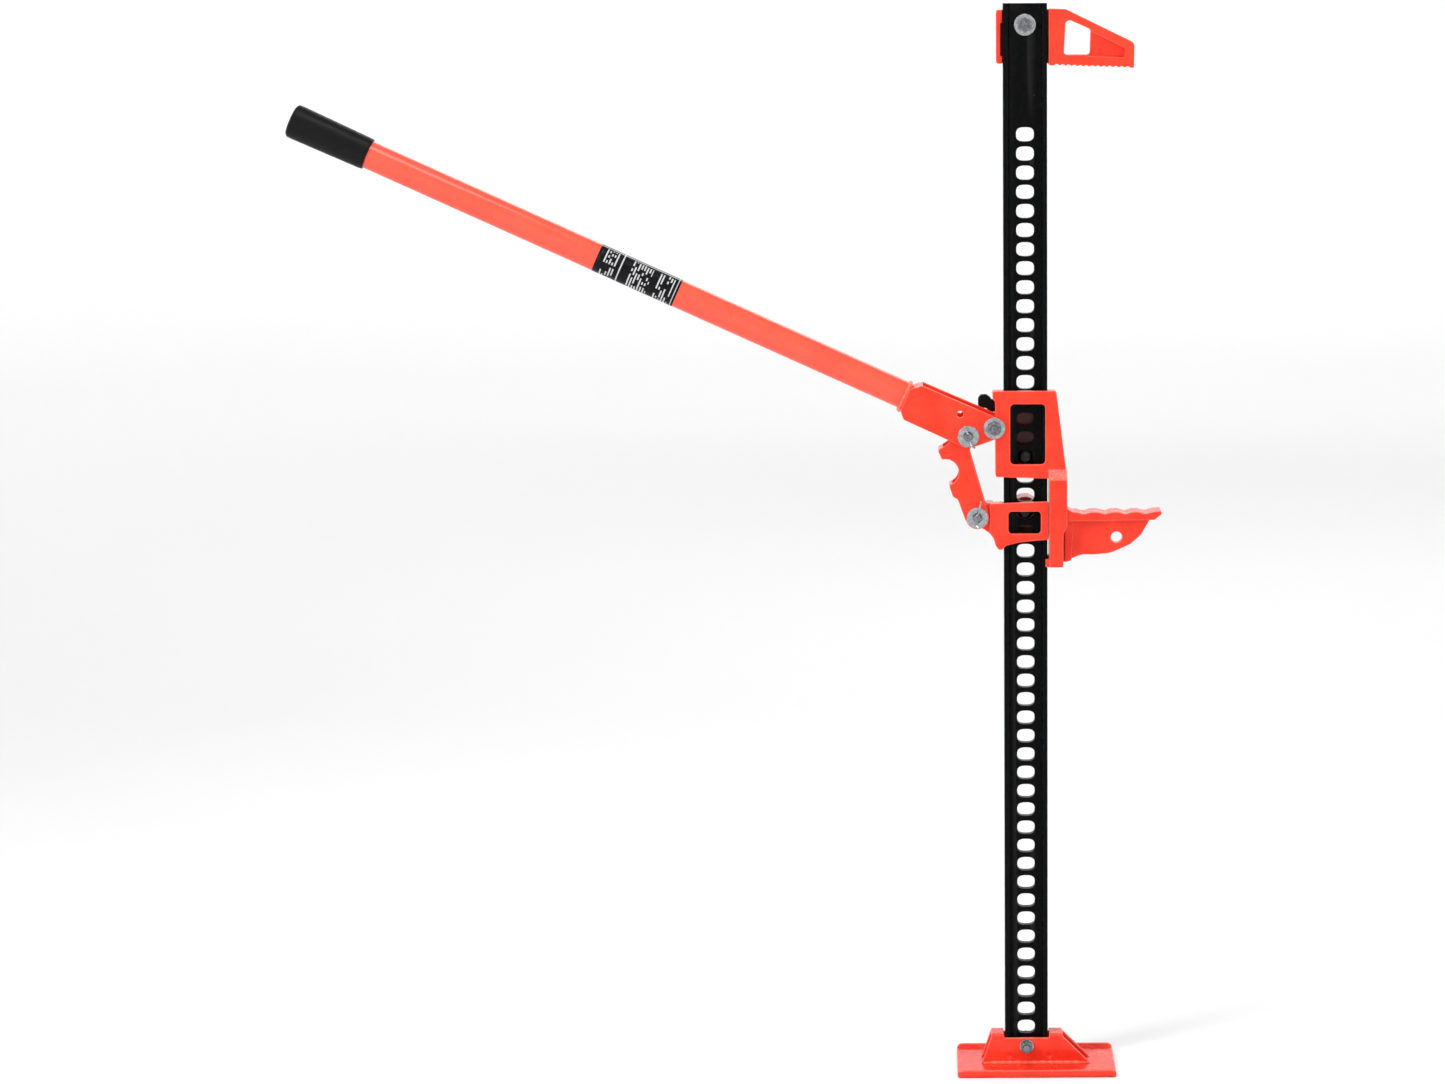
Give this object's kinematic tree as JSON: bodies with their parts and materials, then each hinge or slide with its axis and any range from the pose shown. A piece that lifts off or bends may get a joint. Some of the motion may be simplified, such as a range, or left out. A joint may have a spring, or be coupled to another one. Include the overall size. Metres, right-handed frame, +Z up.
{
  "type": "toe jack",
  "caption": "High-lift farm jack: perforated rack bar on a rocking foot, climbing runners with a lifting toe, long pumping handle, and a top clamp.",
  "frame": {"origin": "underside of the foot plate, on the rack bar's axis", "axes": "+Z up along the rack bar, +X towards the lifting toe, +Y towards the climbing pins at the back"},
  "size_m": [0.9857, 0.1357, 1.224],
  "materials": {
    "red_enamel": "gloss orange-red enamel over castings, folded sheet and tube",
    "black_enamel": "gloss black enamel on the rolled bar",
    "zinc_plate": "bright zinc plating on bolts, nuts, washers and pins",
    "pin_steel": "oiled bare steel",
    "black_vinyl": "matte dipped vinyl"
  },
  "bodies": {
    "foot": {"base_plate": "red_enamel", "base_socket": "red_enamel", "base_bolt": "zinc_plate", "base_washer_front": "zinc_plate", "base_washer_back": "zinc_plate", "base_nut": "zinc_plate"},
    "rack": {"rack_bar": "black_enamel", "top_clamp": "red_enamel", "top_bolt": "zinc_plate", "top_washer_front": "zinc_plate", "top_washer_back": "zinc_plate", "top_nut": "zinc_plate"},
    "large_runner": {"large_runner": "red_enamel", "pivot_bolt": "zinc_plate", "pivot_washer_front": "zinc_plate", "pivot_washer_back": "zinc_plate", "pivot_nut": "zinc_plate", "pin_spring_upper": "pin_steel", "latch_bolt": "zinc_plate"},
    "handle": {"handle_socket": "red_enamel", "handle_tube": "red_enamel", "handle_grip": "black_vinyl", "link_pin_upper": "zinc_plate", "link_washer_upper_front": "zinc_plate", "link_washer_upper_back": "zinc_plate", "split_pin_upper": "zinc_plate"},
    "small_runner": {"small_runner": "red_enamel", "link_pin_lower": "zinc_plate", "link_washer_lower_front": "zinc_plate", "link_washer_lower_back": "zinc_plate", "split_pin_lower": "zinc_plate", "pin_spring_lower": "pin_steel"},
    "pitman": {"pitman": "red_enamel"},
    "upper_pin": {"climbing_pin_upper": "pin_steel", "cross_pin_upper": "zinc_plate"},
    "lower_pin": {"climbing_pin_lower": "pin_steel", "cross_pin_lower": "zinc_plate"},
    "latch": {"reversing_latch": "black_enamel", "latch_knob": "black_vinyl"}
  },
  "joints": [
    {"name": "base_rock", "type": "hinge", "parent": "foot", "child": "rack", "pos_m": [0, 0, 0.026], "axis": [0, 1, 0], "range_deg": [-2, 2]},
    {"name": "runner_climb", "type": "slide", "parent": "rack", "child": "large_runner", "axis": [0, 0, 1], "range_m": [-0.516, 0.258]},
    {"name": "handle_pump", "type": "hinge", "parent": "large_runner", "child": "handle", "pos_m": [-0.0355, 0, 0.7482], "axis": [0, 1, 0], "range_deg": [-22.3, 41.06]},
    {"name": "small_runner_walk", "type": "slide", "parent": "large_runner", "child": "small_runner", "axis": [0, 0, 1], "range_m": [-0.0118, 0.0216]},
    {"name": "pitman_swing", "type": "hinge", "parent": "small_runner", "child": "pitman", "pos_m": [-0.055, 0, 0.6451], "axis": [0, 1, 0], "range_deg": [-1.3, 0.8]},
    {"name": "upper_pin_retract", "type": "slide", "parent": "large_runner", "child": "upper_pin", "axis": [0, 1, 0], "range_m": [0, 0.0122], "stiffness_N_per_m": 300, "springref_m": -0.013, "deforming": ["pin_spring_upper"]},
    {"name": "lower_pin_engage", "type": "slide", "parent": "small_runner", "child": "lower_pin", "axis": [0, -1, 0], "range_m": [0, 0.0103], "deforming": ["pin_spring_lower"]},
    {"name": "latch_flip", "type": "hinge", "parent": "large_runner", "child": "latch", "pos_m": [-0.012, 0, 0.77], "axis": [0, 1, 0], "range_deg": [0, 35]}
  ],
  "couplings": [
    {"joint": "small_runner_walk", "follows": "handle_pump", "m_per_rad": 0.03},
    {"joint": "pitman_swing", "follows": "handle_pump", "ratio": -0.03}
  ]
}
